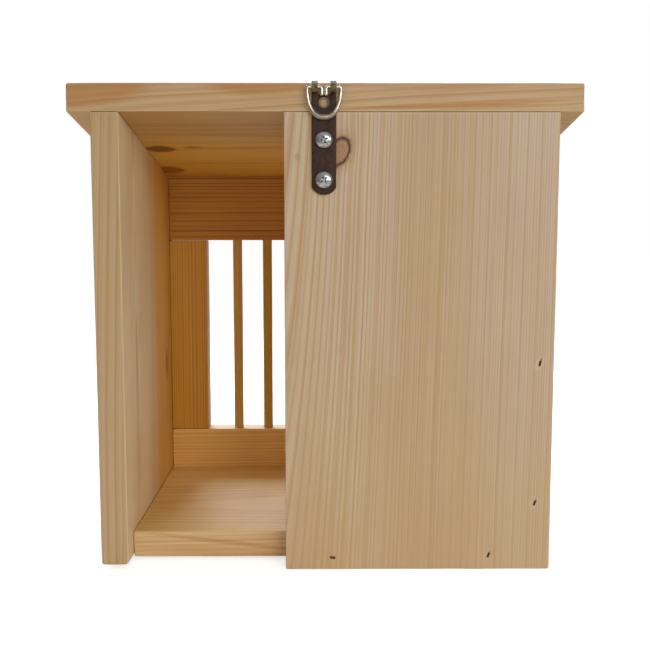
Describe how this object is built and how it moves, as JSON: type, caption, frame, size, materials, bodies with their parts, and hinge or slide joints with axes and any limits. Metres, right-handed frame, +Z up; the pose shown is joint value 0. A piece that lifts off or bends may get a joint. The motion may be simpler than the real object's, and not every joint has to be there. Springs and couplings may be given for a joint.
{
  "type": "birdhouse",
  "caption": "Wooden nesting box with a sloping roof, a barred window in front, a half-open back and a strap hanger with a swinging ring.",
  "frame": {"origin": "bottom centre of the bounding box, on the surface that the house stands on", "axes": "+Z up; the front with the barred window faces -Y and the back with the hanger faces +Y; +X is the right side seen from the front"},
  "size_m": [0.332, 0.2546, 0.3221],
  "materials": {
    "pale_softwood": "planed, unfinished, fine vertical grain",
    "warm_softwood": "planed, unfinished, grain across the width",
    "dowel_wood": "turned smooth, unfinished",
    "antique_strap": "dark brown antique coating, satin",
    "nickel_wire": "warm nickel plate, polished",
    "zinc_screw": "bright zinc plate",
    "brad_steel": "bare steel, dulled"
  },
  "bodies": {
    "house": {"roof_board": "warm_softwood", "side_board_right": "pale_softwood", "side_board_left": "pale_softwood", "floor_board": "warm_softwood", "back_panel": "pale_softwood", "front_top_rail": "warm_softwood", "front_bottom_rail": "warm_softwood", "front_stile_right": "warm_softwood", "front_stile_left": "warm_softwood", "window_dowel_1": "dowel_wood", "window_dowel_2": "dowel_wood", "window_dowel_3": "dowel_wood", "window_dowel_4": "dowel_wood", "window_dowel_5": "dowel_wood", "window_dowel_6": "dowel_wood", "window_dowel_7": "dowel_wood", "hanger_strap": "antique_strap", "hanger_screw_upper": "zinc_screw", "hanger_screw_lower": "zinc_screw", "panel_brad_1": "brad_steel", "panel_brad_2": "brad_steel", "panel_brad_3": "brad_steel", "panel_brad_4": "brad_steel", "roof_brad_right_1": "brad_steel", "roof_brad_right_2": "brad_steel", "roof_brad_right_3": "brad_steel", "roof_brad_left_1": "brad_steel", "roof_brad_left_2": "brad_steel", "roof_brad_left_3": "brad_steel", "floor_brad_right_1": "brad_steel", "floor_brad_right_2": "brad_steel", "floor_brad_left_1": "brad_steel", "floor_brad_left_2": "brad_steel", "rail_brad_right_bottom": "brad_steel", "rail_brad_right_top": "brad_steel", "rail_brad_left_bottom": "brad_steel", "rail_brad_left_top": "brad_steel"},
    "ring": {"hanger_ring": "nickel_wire"}
  },
  "joints": [
    {"name": "ring_swing", "type": "hinge", "parent": "house", "child": "ring", "pos_m": [0.001, 0.12367, 0.3185], "axis": [1, 0, 0], "range_deg": [0, 210]}
  ]
}
